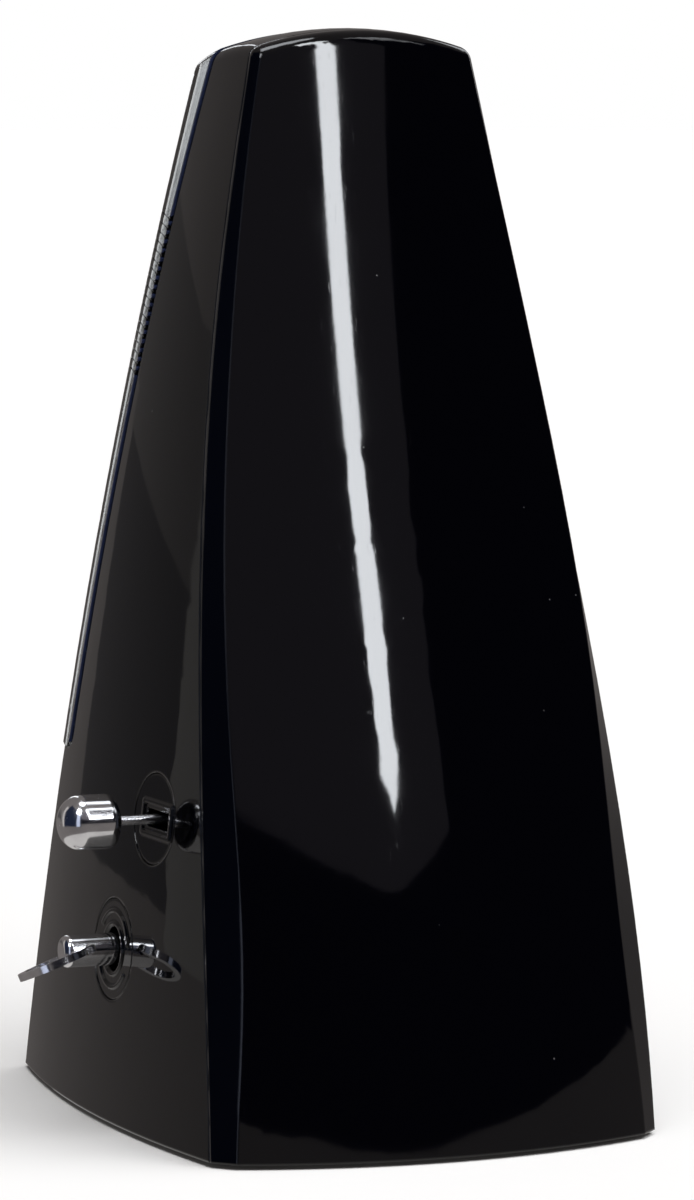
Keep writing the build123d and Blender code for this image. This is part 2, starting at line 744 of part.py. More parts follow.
def make_pendulum():
    s = pendulum_pivot_s
    fit = pivot_radius + 0.02
    arbor = front_rod(s, bridge_back, rod_depth + 1.2, pivot_radius)
    pallets = []
    for d, tilt in ((crown_depth + 7.4, 1), (crown_depth - 7.4, -1)):
        collar = front_rod(s, d - 1.5, d + 1.5, 1.8, 0)
        flag = front_plane * Pos(0, s, d) * Rot(0, 0, 180 - tilt * 45) * Pos(1.7, 0, 0) * Box(3.4, 0.8, 3.0)
        pallets.append(collar + flag - front_rod(s, d - 2, d + 2, fit))

    back, front = rod_depth - rod_thickness / 2, rod_depth + rod_thickness / 2
    hub = front_rod(s, back - 2.0, back, 3.2) + front_rod(s, front, front + 0.7, 2.2)
    hub -= front_rod(s, -20, 5, fit)
    rod = front_box((-rod_half_width, rod_half_width), (rod_low_s, rod_high_s), (back, front))
    rod += front_rod(s, back, front, 3.2)
    rod -= front_rod(s, -20, 5, fit)
    for i in range(notch_count):
        rod -= front_rod(first_notch_s + i * notch_pitch, back - 1, front + 1, 0.35, rod_half_width)
    low, high = bob_low_s, bob_high_s
    bob = front_box((-bob_half_width, bob_half_width), (low, high), (back - bob_thickness, back))
    bob = fillet(bob.edges().filter_by(lambda e: abs(e.length - bob_thickness) < 0.01), 5)
    rivets = []
    for place in (low + 6, high - 6):
        bob -= front_rod(place, back - bob_thickness - 1, back + 1, 1.02)
        rod -= front_rod(place, back - 1, front + 1, 1.02)
        rivets.append(front_rod(place, back - bob_thickness, front, 1.0) + front_rod(place, front, front + 0.6, 1.6))
    return arbor, pallets, hub, rod, bob, rivets


def make_tempo_weight():
    """The sliding weight: a tapered block with a window for the rod and a leaf that grips it."""
    s = tempo_weight_s
    back, front = rod_depth - rod_thickness / 2, rod_depth + rod_thickness / 2
    outline = make_face(Polyline((-8, s + 8), (8, s + 8), (5.5, s - 8), (-5.5, s - 8), close=True))
    outline = fillet(outline.vertices(), 1.2)
    weight = extrude(front_plane * Pos(0, 0, back - 2.6) * outline, rod_thickness + 4.2)
    room = 0.2
    weight -= front_box((-rod_half_width - room, rod_half_width + room + 0.8), (s - 12, s + 12),
                        (back - room, front + room))
    leaf = front_box((rod_half_width + 0.35, rod_half_width + 0.75), (s - 6, s + 6),
                     (back - 0.1, front + 0.1))
    return weight, leaf


def make_bridge():
    """The bar across the plates with the bracket that carries the pendulum and escape arbors."""
    s = pendulum_pivot_s
    bar = front_box((left_plate_x, right_plate_x), (s + 9, s + 13), (-24, -20))
    plate = front_box((4, 6), (s - 6, s + 13), (bridge_back, bridge_front))
    bridge = bar + plate
    for low, high in ((bridge_back, bridge_back + 2), (bridge_front - 2, bridge_front)):
        bridge += front_box((-4, 5), (s - 5, s + 5), (low, high))
    bridge -= front_rod(s, bridge_back - 1, bridge_front + 1, pivot_radius + running)
    bridge -= rod_x(3, 7, escape_axis, pivot_radius + running)
    return bridge


# ---- Bell, hammer and selector ----

def make_bell():
    """A shallow dish bell, its mouth towards the left plate, on a stud with a nut."""
    sphere_radius = (bell_radius**2 + bell_depth**2) / (2 * bell_depth)
    crown_x = bell_rim_x - bell_depth
    centre = crown_x + sphere_radius
    outer = Pos(centre, *bell_centre) * Sphere(sphere_radius)
    inner = Pos(centre, *bell_centre) * Sphere(sphere_radius - 1.0)
    keep = Pos(bell_rim_x - 20, *bell_centre) * Box(40, 60, 60)
    bell = (outer - inner) & keep
    bell -= rod_x(crown_x - 5, crown_x + 5, bell_centre, 1.55)
    plate_x = left_plate_x - plate_thickness
    stud = rod_x(crown_x - 2.5, left_plate_x, bell_centre, 1.5)
    stud += rod_x(crown_x + 1.3, plate_x, bell_centre, 2.6)
    nut = extrude(on_x(crown_x - 2.2, bell_centre) * RegularPolygon(3.0, 6), 1.9)
    nut -= rod_x(crown_x - 3, crown_x, bell_centre, 1.55)
    return bell, stud, nut


hammer_x = -26.0
fork_x = cam_first_x + 4.0


def make_hammer():
    """The hammer hangs from its arbor beside the bell; the follower slides along the same arbor."""
    head_reach = bell_radius + 3.8
    span = math.dist(bell_centre, hammer_axis)
    head = polar(bell_centre, head_reach,
                 direction(bell_centre, hammer_axis) - math.degrees(math.acos(head_reach / span)))
    arbor = rod_x(hammer_x - 2.5, right_plate_x - 0.4, hammer_axis, 1.25)
    arbor += rod_x(right_plate_x - 1, right_plate_x + plate_thickness, hammer_axis, pivot_radius)
    arm = bar_x(hammer_x - 0.5, hammer_x + 0.5, hammer_axis, head, 1.2)
    arm += rod_x(hammer_x - 2, hammer_x + 2, hammer_axis, 2.6)
    arm -= rod_x(hammer_x - 3, hammer_x + 3, hammer_axis, 1.27)
    hammer = arm + rod_x(hammer_x - 2.5, hammer_x + 2.5, head, 3.0)
    coil = Plane(origin=(left_plate_x + 2, *hammer_axis), x_dir=(0, 1, 0), z_dir=(1, 0, 0)) * Helix(
        pitch=0.9, height=4.5, radius=2.0
    )
    spring = sweep(Plane(origin=coil @ 0, z_dir=coil % 0) * Circle(0.25), coil)

    tip = polar(cam_axis, cam_radius + 1.1, -42)
    follower = bar_x(cam_first_x - 0.5, cam_first_x + 0.5, hammer_axis, tip, 0.7)
    follower += rod_x(cam_first_x - 0.6, fork_x - 0.8, hammer_axis, 3.0)
    follower += rod_x(cam_first_x - 0.6, fork_x + 1.8, hammer_axis, 2.0)
    follower += rod_x(fork_x + 0.8, fork_x + 1.8, hammer_axis, 3.0)
    follower -= rod_x(cam_first_x - 5, fork_x + 5, hammer_axis, 1.25 + running)
    return arbor, hammer, spring, follower


selector_wall_x = side_x(*selector_axis)


def make_selector():
    """The chrome knob, its rod, and the fork that moves the follower from cam to cam."""
    end = selector_wall_x + knob_reach
    start = end - knob_length
    knob = rod_x(start, end, selector_axis, knob_radius)
    knob = fillet(knob.edges().sort_by(Axis.X)[-1], 4.6)
    knob = fillet(knob.edges().sort_by(Axis.X)[0], 2.4)
    knob -= rod_x(start - 1, start + 6, selector_axis, selector_rod_radius + 0.02)
    rod = rod_x(left_plate_x - plate_thickness - 2, start + 5.5, selector_axis, selector_rod_radius)
    for i in range(5):
        x = right_plate_x - 6 + i * selector_step
        rod -= Pos(x, selector_axis[0], selector_axis[1] - 1.2) * Box(0.7, 3, 0.8)
    toward = direction(selector_axis, hammer_axis)
    fork = bar_x(fork_x - 0.5, fork_x + 0.5, selector_axis, hammer_axis, 3.2)
    fork += rod_x(fork_x - 1.5, fork_x + 1.5, selector_axis, 2.4)
    slot_end = polar(hammer_axis, 8, toward)
    fork -= bar_x(fork_x - 1, fork_x + 1, hammer_axis, slot_end, 2.3)
    fork -= rod_x(fork_x - 3, fork_x + 3, selector_axis, selector_rod_radius + 0.02)
    detent = polygon_x(right_plate_x - 2.0, right_plate_x - 0.0, [
        (selector_axis[0] - 2, selector_axis[1] - 5), (selector_axis[0] + 2, selector_axis[1] - 5),
        (selector_axis[0] + 1, selector_axis[1] - 1.4), (selector_axis[0] - 1, selector_axis[1] - 1.4),
    ])
    return knob, rod, fork, detent


def make_side_plates():
    """The winding plate with its collar and turning marks, and the selector plate with its framed slot."""
    key_plate = side_disc(key_axis, key_plate_radius, side_plate_thickness, -side_plate_sunk)
    relief = Circle(5.5) - Circle(4.9)
    for turn in (20, 200):
        sweep_mask = Rot(0, 0, turn) * Polygon((0, 0), (12, 0), (12, 12), (-9, 12), align=None)
        relief += (Circle(8.1) - Circle(7.4)) & sweep_mask
        relief += Rot(0, 0, turn) * Pos(7.75, 0) * Rot(0, 0, -90) * RegularPolygon(1.3, 3)
    key_plate += extrude(wall_plane(key_axis, -side_plate_sunk) * relief, plate_relief)
    key_plate -= rod_x(30, 60, key_axis, 4.5)

    selector_plate = side_disc(
        selector_axis, selector_plate_radius, side_plate_thickness, -side_plate_sunk
    )
    face = wall_plane(selector_axis, -side_plate_sunk) * Pos(selector_frame_back, 0)
    frame = RectangleRounded(13.6, 7.4, 0.6) - RectangleRounded(11.8, 5.6, 0.4)
    selector_plate += extrude(face * frame, plate_relief)
    y, z = selector_axis
    selector_plate -= Pos(45, y + selector_frame_back, z) * Box(30, 10.0, 3.6)
    return key_plate, selector_plate


# ---- Build and write every node ----

case_outer, case_inner = make_case()
front_shell, rear_shell = make_shells(case_outer, case_inner)
save("front_shell", front_shell)
save("rear_shell", rear_shell)
save("front_cover", make_cover())

base_plate, base_screws, feet, flange_screws = make_base()
save("base_plate", base_plate)
save("base_screws", *base_screws)
save("rubber_feet", *feet)
save("movement_screws", *flange_screws)

bay_floor = -cover_depth - cover_gap
scale = scale_outline(bay_floor - 0.95, bay_floor)
scale_screws = []
for screw_s in scale_screw_places:
    scale -= front_rod(screw_s, bay_floor - 4, bay_floor + 1, 1.05)
    scale_screws.append(
        front_rod(screw_s, bay_floor - 2.4, bay_floor, 1.0) + front_rod(screw_s, bay_floor, bay_floor + 0.5, 1.9)
    )
save("scale_plate", scale)
save("scale_screws", *scale_screws)
clip = front_box((-5, 5), (rod_high_s - 6, rod_high_s), (bay_floor, rod_depth - rod_thickness / 2 - 0.3))
clip -= front_rod(rod_high_s - 3, bay_floor + 0.6, 0, 2.0)
save("pendulum_rest", clip)

right_plate, left_plate, pillars, pillar_screws = make_frame()
save("right_plate", right_plate)
save("left_plate", left_plate)
save("plate_pillars", *pillars)
save("pillar_screws", *pillar_screws)
save("pendulum_bridge", make_bridge())

winding_arbor, key_stem = make_winding()
save("winding_arbor", winding_arbor)
save("key_stem", key_stem)
save("key_ring", make_key_ring())
great_wheel, barrel_lid, spring = make_barrel()
save("great_wheel_barrel", great_wheel)
save("barrel_lid", barrel_lid)
save("mainspring", spring)
ratchet, click, click_screw, click_spring = make_ratchet()
save("ratchet_wheel", ratchet)
save("click", click)
save("click_screw", click_screw)
save("click_spring", click_spring)

intermediate_arbor, intermediate_wheel, escape_arbor, escape_wheel, cam_arbor, cams = make_train()
save("intermediate_arbor", intermediate_arbor)
save("intermediate_wheel", intermediate_wheel)
save("escape_arbor", escape_arbor)
save("escape_wheel", escape_wheel)
save("cam_arbor", cam_arbor)
save("beat_cams", *cams)

pendulum_arbor, pallets, hub, rod, bob, rivets = make_pendulum()
save("pendulum_arbor", pendulum_arbor)
save("pallets", *pallets)
save("pendulum_hub", hub)
save("pendulum_rod", rod)
save("pendulum_bob", bob)
save("bob_rivets", *rivets)
tempo_weight, weight_leaf = make_tempo_weight()
save("tempo_weight", tempo_weight)
save("weight_leaf_spring", weight_leaf)

bell, bell_stud, bell_nut = make_bell()
save("bell", bell)
save("bell_stud", bell_stud)
save("bell_nut", bell_nut)
hammer_arbor, hammer, hammer_spring, follower = make_hammer()
save("hammer_arbor", hammer_arbor)
save("hammer_spring", hammer_spring)
save("bell_hammer", hammer)
save("cam_follower", follower)
knob, selector_rod, selector_fork, detent = make_selector()
save("selector_knob", knob)
save("selector_rod", selector_rod)
save("selector_fork", selector_fork)
save("selector_detent", detent)
key_plate, selector_plate = make_side_plates()
save("key_plate", key_plate)
save("selector_plate", selector_plate)

print("escape axis", escape_axis)
print("intermediate axis", intermediate_axis)
print("cam axis", cam_axis)
print("click axis", click_axis)
print("key pin x", key_pin_x, "key wall x", key_wall_x, "selector wall x", selector_wall_x)
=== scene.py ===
"""The looks of a wind-up pyramid metronome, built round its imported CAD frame.

Metres. +Z is up, -Y is the front with the scale and +X the side with the key, as in the CAD.
The case, cover, key and movement are the frame's own nodes with procedural materials. The print on
the scale is built here.
"""

import math

import bmesh
import bpy
from mathutils import Matrix, Vector


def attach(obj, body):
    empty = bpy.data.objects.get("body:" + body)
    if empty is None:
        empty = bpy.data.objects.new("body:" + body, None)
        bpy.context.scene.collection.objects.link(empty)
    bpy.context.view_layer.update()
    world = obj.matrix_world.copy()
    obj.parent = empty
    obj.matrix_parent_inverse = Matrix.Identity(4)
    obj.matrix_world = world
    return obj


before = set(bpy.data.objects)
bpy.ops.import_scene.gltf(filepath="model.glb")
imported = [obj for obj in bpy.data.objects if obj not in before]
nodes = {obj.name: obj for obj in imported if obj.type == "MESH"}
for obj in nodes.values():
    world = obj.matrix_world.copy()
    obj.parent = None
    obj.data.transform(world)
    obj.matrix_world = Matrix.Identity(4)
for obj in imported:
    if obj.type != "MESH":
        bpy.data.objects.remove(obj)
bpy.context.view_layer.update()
MM = 0.001

# ---- Camera, as azimuth and elevation round the object ----
VIEW_AZIMUTH, VIEW_ELEVATION, VIEW_ROLL = 157.57, 5.89, 0.45
VIEW_DISTANCE = 1103.5 * MM
VIEW_LENS, VIEW_SENSOR = 161.2, 36.0
VIEW_TARGET_HEIGHT, VIEW_TARGET_RIGHT = 104.2 * MM, 2.6 * MM

# ---- Studio ----
FLOOR_RADIUS = 12.0
CARD_REACH = 1.5            # how far the reflected cards stand from the object
LAMP_REACH = CARD_REACH - 0.02      # for a lamp in front of a card
CARD_FOOT, CARD_TOP = -0.2, 2.2
FLAG_FOOT = 0.115           # lower edge of the black flags that the back shows
ROOM_COLOUR = (0.185, 0.170, 0.165)
WALL_COLOUR = (0.140, 0.130, 0.145)
FLAG_COLOUR = (0.009, 0.009, 0.013)
LAMP_COLOUR = (0.93, 0.96, 1.0)

# ---- Front cover and scale print, placed by x across and s up the slope of the front plane ----
FRONT_FOOT = Vector((0, -57.4, 1.0)) * MM
FRONT_LEAN = math.radians(10.75)
FRONT_UP = Vector((0, math.sin(FRONT_LEAN), math.cos(FRONT_LEAN)))
FRONT_OUT = Vector((0, -math.cos(FRONT_LEAN), math.sin(FRONT_LEAN)))
COVER_DEPTH = 9.0 * MM
GRIP_COUNT = 18
GRIP_START, GRIP_PITCH = 153.6 * MM, 1.9 * MM
GRIP_END = GRIP_START + (GRIP_COUNT - 1) * GRIP_PITCH
GRIP_SPOT = 1.25 * MM       # how deep the painted shade spot on a grip is
GRIP_STRETCH = 2.5          # how many times deeper than tall the spot is
GRIP_MARGIN = 0.8 * MM      # how far the row of painted shade spots runs past the first and the last grip
RIM_DEPTH = 0.70 * MM       # how deep the rim of the cover is painted with painted shade and dark reflection
SCALE_DEPTH = 9.3 * MM      # face of the scale behind the front plane
PRINT_THICKNESS = 0.04 * MM
FIRST_MARK, MARK_PITCH = 108.0 * MM, 1.68 * MM
MARK_INNER, MARK_OUTER = 9.2 * MM, 12.2 * MM
MARK_WIDTH = 0.22 * MM
NUMERAL_CENTRE, NUMERAL_SIZE = 15.6 * MM, 3.0 * MM
INNER_RULE, OUTER_RULE = (9.0 * MM, 0.30 * MM), (19.6 * MM, 0.20 * MM)      # place and width
RULE_FOOT = FIRST_MARK - 3 * MM
# Beats a minute, in the steps that metronomes have.
TEMPI = [*range(40, 60, 2), *range(60, 72, 3), *range(72, 120, 4),
         *range(120, 144, 6), *range(144, 209, 8)]


def toward(azimuth, elevation):
    """The direction from the object to a place round it. Azimuth 0 is the front and 90 the key side."""
    a, e = math.radians(azimuth), math.radians(elevation)
    return Vector((math.sin(a) * math.cos(e), -math.cos(a) * math.cos(e), math.sin(e)))


# ---- Material helpers ----

class Surface:
    """A material with one Principled shader, and short calls for the nodes that feed it."""

    def __init__(self, name, colour, metallic=0.0, roughness=0.4, **sockets):
        self.material = bpy.data.materials.new(name)
        self.material.use_nodes = True
        self.tree = self.material.node_tree
        self.shader = self.tree.nodes["Principled BSDF"]
        self.place = self.add("ShaderNodeTexCoord").outputs["Object"]
        self.set(Base_Color=(*colour, 1.0), Metallic=metallic, Roughness=roughness, **sockets)

    def add(self, kind, **settings):
        """A new node of this kind with these settings."""
        node = self.tree.nodes.new(kind)
        for key, value in settings.items():
            setattr(node, key, value)
        return node

    def feed(self, socket, value):
        """Gives a socket either a number or another node's output."""
        if isinstance(value, bpy.types.NodeSocket):
            self.tree.links.new(value, socket)
        else:
            socket.default_value = value

    def set(self, **sockets):
        """Sets or links the shader's sockets. An underscore in a name stands for a space."""
        for name, value in sockets.items():
            self.feed(self.shader.inputs[name.replace("_", " ")], value)

    def stretched(self, x, y, z):
        """The object's coordinates, scaled on each axis."""
        node = self.add("ShaderNodeMapping")
        self.feed(node.inputs["Vector"], self.place)
        node.inputs["Scale"].default_value = (x, y, z)
        return node.outputs["Vector"]

    def noise(self, size, detail=3.0, rough=0.5, place=None):
        """Soft noise from 0 to 1 whose features are about size across."""
        node = self.add("ShaderNodeTexNoise")
        self.feed(node.inputs["Vector"], place or self.place)
        self.feed(node.inputs["Scale"], 1 / size)
        self.feed(node.inputs["Detail"], detail)
        self.feed(node.inputs["Roughness"], rough)
        return node.outputs["Fac"]

    def cells(self, size, place=None):
        """Distance from the middle of the nearest of many scattered cells."""
        node = self.add("ShaderNodeTexVoronoi")
        self.feed(node.inputs["Vector"], place or self.place)
        self.feed(node.inputs["Scale"], 1 / size)
        return node.outputs["Distance"]

    def remap(self, value, low, high, out_low=0.0, out_high=1.0):
        """value from low to high, made to run from out_low to out_high and held there."""
        node = self.add("ShaderNodeMapRange")
        numbers = {"From Min": low, "From Max": high, "To Min": out_low, "To Max": out_high}
        self.feed(node.inputs["Value"], value)
        for name, number in numbers.items():
            self.feed(node.inputs[name], number)
        return node.outputs["Result"]

    def maths(self, operation, a, b=0.0):
        """The result of one Math node."""
        node = self.add("ShaderNodeMath", operation=operation)
        self.feed(node.inputs[0], a)
        self.feed(node.inputs[1], b)
        return node.outputs[0]

    def blend(self, share, first, second):
        """A colour that goes from first to second with share."""
        node = self.add("ShaderNodeMix", data_type="RGBA")
        self.feed(node.inputs["Factor"], share)
        self.feed(node.inputs[6], (*first, 1.0) if isinstance(first, tuple) else first)
        self.feed(node.inputs[7], (*second, 1.0) if isinstance(second, tuple) else second)
        return node.outputs[2]

    def dot(self, place, direction):
        """How far a place lies along a direction."""
        node = self.add("ShaderNodeVectorMath", operation="DOT_PRODUCT")
        self.feed(node.inputs[0], place)
        self.feed(node.inputs[1], direction)
        return node.outputs["Value"]

    def rounded(self, radius):
        """The surface's direction with its edges softened to this radius."""
        node = self.add("ShaderNodeBevel", samples=8)
        self.feed(node.inputs["Radius"], radius)
        return node.outputs["Normal"]

    def bump(self, *layers, normal=None):
        """Relief from (height, depth) pairs, heights from 0 to 1 and depths in metres."""
        for height, depth in layers:
            node = self.add("ShaderNodeBump")
            self.feed(node.inputs["Height"], height)
            self.feed(node.inputs["Distance"], depth)
            if normal:
                self.feed(node.inputs["Normal"], normal)
            normal = node.outputs["Normal"]
        self.set(Normal=normal)


# ---- Materials ----

def gloss_black():
    """High-gloss moulded plastic: orange peel, hairline scratches and settled dust."""
    s = Surface("gloss_black", (0.0005, 0.0005, 0.0012), IOR=1.5)
    dust = s.maths("MULTIPLY", s.remap(s.cells(5.5 * MM), 0.025, 0.040, 1, 0),
                   s.remap(s.noise(30 * MM), 0.52, 0.60))
    scratches = s.remap(s.noise(0.5 * MM, 1, place=s.stretched(1, 0.6, 0.02)), 0.70, 0.76)
    haze = s.remap(s.noise(18 * MM, 5), 0.3, 0.8, 0.022, 0.055)
    worn = s.maths("ADD", haze, s.maths("MULTIPLY", scratches, 0.05))
    s.set(Base_Color=s.blend(dust, (0.0004, 0.0004, 0.0011), (0.10, 0.10, 0.10)),
          Roughness=s.maths("ADD", worn, s.maths("MULTIPLY", dust, 0.4)))
    s.bump((s.noise(1.5 * MM, 2), 0.0009 * MM), (s.noise(14 * MM, 2), 0.0017 * MM), (dust, 0.02 * MM),
           normal=s.rounded(0.8 * MM))
    return s.material


def clear_cover():
    """Clear moulded plastic with fine wiping marks. Its rim and the grips on it are painted with painted
    shade and painted dark reflection: dark navy on the rim, near black at the grips, where no light
    passes.
    """
    s = Surface("clear_cover", (0.88, 0.90, 0.92), IOR=1.49)
    out = s.dot(s.place, FRONT_OUT)
    depth = s.maths("ADD", out, COVER_DEPTH - FRONT_OUT.dot(FRONT_FOOT))
    slope = s.maths("ADD", s.dot(s.place, FRONT_UP), -FRONT_UP.dot(FRONT_FOOT))
    # Painted shade and dark reflection: the rim of the cover, RIM_DEPTH deep, is painted dark navy.
    rim = s.remap(depth, RIM_DEPTH, RIM_DEPTH + 0.20 * MM, 1, 0)
    # Painted shade: a dark spot is painted on the rim at each grip notch.
    from_grip = s.maths("PINGPONG", s.maths("SUBTRACT", slope, GRIP_START), GRIP_PITCH / 2)
    tall = s.maths("MULTIPLY", from_grip, GRIP_STRETCH)
    squares = s.maths("ADD", s.maths("MULTIPLY", tall, tall), s.maths("MULTIPLY", depth, depth))
    spot = s.remap(s.maths("SQRT", squares), GRIP_SPOT, GRIP_SPOT + 0.15 * MM, 1, 0)
    row_foot, row_top, fade = GRIP_START - GRIP_MARGIN, GRIP_END + GRIP_MARGIN, 0.1 * MM
    above_first = s.remap(slope, row_foot - fade, row_foot)
    below_last = s.remap(slope, row_top, row_top + fade, 1, 0)
    grip_painted_shade = s.maths("MULTIPLY", spot, s.maths("MULTIPLY", above_first, below_last))
    dark = s.maths("MAXIMUM", rim, grip_painted_shade)
    wipes = s.noise(0.6 * MM, 2, place=s.stretched(0.05, 1, 1))
    tint = s.blend(s.noise(25 * MM), (0.60, 0.625, 0.64), (0.66, 0.68, 0.69))
    # Painted shade colours: dark navy on the rim, near black in the grip spots.
    painted_rim_and_grip_shade = s.blend(grip_painted_shade, (0.022, 0.030, 0.075), (0.002, 0.002, 0.004))
    s.set(Base_Color=s.blend(dark, tint, painted_rim_and_grip_shade),
          Transmission_Weight=s.maths("SUBTRACT", 1.0, dark),
          Roughness=s.remap(wipes, 0.3, 0.8, 0.02, 0.07))
    s.bump((s.noise(2 * MM, 2), 0.0012 * MM))
    return s.material


def matte_black():
    """Plain moulded plastic with a fine grain."""
    s = Surface("matte_black", (0.02, 0.02, 0.022), IOR=1.48)
    grain = s.noise(0.25 * MM, 4)
    s.set(Base_Color=s.blend(s.noise(9 * MM, 4), (0.016, 0.016, 0.018), (0.028, 0.028, 0.030)),
          Roughness=s.remap(grain, 0.3, 0.7, 0.5, 0.68))
    s.bump((grain, 0.02 * MM))
    return s.material


def foot_rubber():
    """Dull rubber, a little scuffed."""
    s = Surface("foot_rubber", (0.03, 0.03, 0.03))
    scuff = s.remap(s.noise(2.5 * MM, 5), 0.5, 0.75)
    s.set(Base_Color=s.blend(scuff, (0.022, 0.022, 0.023), (0.06, 0.058, 0.055)),
          Roughness=s.remap(s.noise(0.4 * MM), 0.3, 0.7, 0.7, 0.9))
    s.bump((s.noise(0.35 * MM, 3), 0.03 * MM))
    return s.material


def metal(name, colour, dark, roughness, grain, stretch=(1, 1, 1), tarnish=0.5):
    """A metal whose roughness and tone follow its grain, with darker tarnish in soft patches."""
    s = Surface(name, colour, metallic=1.0)
    lines = s.noise(grain, 3, place=s.stretched(*stretch))
    patches = s.remap(s.noise(7 * MM, 5), 0.45, 0.75, 0, tarnish)
    spread = 0.4 * roughness
    s.set(Base_Color=s.blend(patches, colour, dark),
          Roughness=s.remap(lines, 0.25, 0.75, roughness - spread, roughness + spread))
    s.bump((lines, 0.0006 * MM))
    return s.material


def chrome():
    """Bright plating with a faint haze, fine rubbing marks and a few pits."""
    s = Surface("chrome", (0.78, 0.78, 0.80), metallic=1.0)
    rubbed = s.noise(0.4 * MM, 3, place=s.stretched(0.15, 1, 1))
    haze = s.remap(s.noise(4 * MM, 4), 0.3, 0.75)
    pits = s.remap(s.cells(1.6 * MM), 0.04, 0.07, 1, 0)
    s.set(Base_Color=s.blend(haze, (0.80, 0.80, 0.82), (0.66, 0.66, 0.68)),
          Roughness=s.maths("ADD", s.remap(rubbed, 0.25, 0.8, 0.09, 0.19), s.maths("MULTIPLY", pits, 0.2)))
    s.bump((rubbed, 0.0006 * MM), (pits, -0.004 * MM))
    return s.material


def cast_weight():
    """Bare cast metal with a rough skin."""
    s = Surface("cast_weight", (0.2, 0.2, 0.21), metallic=0.85)
    skin = s.noise(0.8 * MM, 6, 0.65)
    s.set(Base_Color=s.blend(s.noise(4 * MM, 5), (0.14, 0.14, 0.145), (0.27, 0.265, 0.26)),
          Roughness=s.remap(skin, 0.3, 0.7, 0.42, 0.68))
    s.bump((skin, 0.10 * MM))
    return s.material


def scale_face():
    """Satin silver paint on a stamped plate, brushed across."""
    s = Surface("scale_face", (0.50, 0.50, 0.49), metallic=0.75)
    lines = s.noise(0.25 * MM, 3, place=s.stretched(0.03, 1, 1))
    s.set(Base_Color=s.blend(s.noise(14 * MM, 4), (0.52, 0.52, 0.51), (0.60, 0.60, 0.585)),
          Roughness=s.remap(lines, 0.25, 0.75, 0.30, 0.46))
    s.bump((lines, 0.003 * MM))
    return s.material


def scale_ink():
    """Black printing ink."""
    s = Surface("scale_ink", (0.01, 0.01, 0.012))
    s.set(Base_Color=s.blend(s.noise(1.5 * MM, 4), (0.008, 0.008, 0.010), (0.03, 0.03, 0.032)),
          Roughness=s.remap(s.noise(0.5 * MM), 0.3, 0.7, 0.35, 0.55))
    return s.material


def on_scale(x, s, d=0.0):
    """A point of the print, d out from the face of the scale."""
    return FRONT_FOOT + Vector((x, 0, 0)) + FRONT_UP * s + FRONT_OUT * (d - SCALE_DEPTH)


def print_bar(ink, x, s):
    """A printed bar between two x and two s, as a thin slab without its hidden face."""
    corners = [(x[0], s[0]), (x[1], s[0]), (x[1], s[1]), (x[0], s[1])]
    low = [ink.verts.new(on_scale(*c)) for c in corners]
    high = [ink.verts.new(on_scale(*c, PRINT_THICKNESS)) for c in corners]
    ink.faces.new(high)
    for i in range(4):
        j = (i + 1) % 4
        ink.faces.new((low[i], low[j], high[j], high[i]))


def print_number(ink, number, x, s, size):
    """A printed numeral centred at x and s."""
    curve = bpy.data.curves.new("numeral", "FONT")
    curve.body = str(number)
    curve.size = size
    curve.align_x, curve.align_y = "CENTER", "CENTER"
    curve.extrude = PRINT_THICKNESS / 2
    numeral = bpy.data.objects.new("numeral", curve)
    mesh = numeral.to_mesh()
    mesh.transform(Matrix.Translation(on_scale(x, s, PRINT_THICKNESS / 2))
                   @ Matrix.Rotation(math.pi / 2 - FRONT_LEAN, 4, "X"))
    ink.from_mesh(mesh)
    numeral.to_mesh_clear()
    bpy.data.objects.remove(numeral)


def make_scale_print():
    """A mark and a numeral for each tempo, left and right of the rod in turn, fast at the foot."""
    ink = bmesh.new()
    for i, tempo in enumerate(reversed(TEMPI)):
        side = -1 if i % 2 else 1
        s = FIRST_MARK + i * MARK_PITCH
        print_bar(ink, sorted((side * MARK_INNER, side * MARK_OUTER)),
                  (s - MARK_WIDTH / 2, s + MARK_WIDTH / 2))
        print_number(ink, tempo, side * NUMERAL_CENTRE, s, NUMERAL_SIZE)
    top = FIRST_MARK + len(TEMPI) * MARK_PITCH
    for side in (-1, 1):
        for place, width in (INNER_RULE, OUTER_RULE):
            print_bar(ink, (side * place - width / 2, side * place + width / 2), (RULE_FOOT, top))
    mesh = bpy.data.meshes.new("scale_print")
    ink.to_mesh(mesh)
    ink.free()
    mesh.materials.append(scale_ink())
    piece = bpy.data.objects.new("scale_print", mesh)
    bpy.context.scene.collection.objects.link(piece)
    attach(piece, "case")


def make_materials():
    """One finish for each slot of the record."""
    return {
        "gloss_black": gloss_black(),
        "clear_cover": clear_cover(),
        "matte_black": matte_black(),
        "foot_rubber": foot_rubber(),
        "scale_face": scale_face(),
        "chrome": chrome(),
        "cast_weight": cast_weight(),
        "zinc_steel": metal("zinc_steel", (0.58, 0.58, 0.60), (0.42, 0.42, 0.40), 0.34, 0.5 * MM),
        "steel": metal("steel", (0.56, 0.56, 0.58), (0.38, 0.37, 0.36), 0.26, 0.4 * MM, (0.1, 1, 1)),
        "spring_steel": metal("spring_steel", (0.30, 0.32, 0.40), (0.18, 0.17, 0.20), 0.28, 0.4 * MM),
        "brass": metal("brass", (0.76, 0.56, 0.25), (0.48, 0.33, 0.14), 0.28, 0.35 * MM, (1, 0.2, 1)),
        "weight_metal": metal("weight_metal", (0.76, 0.76, 0.77), (0.60, 0.59, 0.57), 0.20, 0.3 * MM,
                              (0.1, 1, 1)),
        "bell_metal": metal("bell_metal", (0.70, 0.70, 0.72), (0.52, 0.51, 0.50), 0.16, 0.5 * MM),
    }


def dress_frame(materials):
    """Puts each slot's finish on the frame nodes that the record gives it."""
    for node in nodes.values():
        for place in node.material_slots:
            place.material = materials[place.material.name.split(".")[0]]


# ---- Studio ----

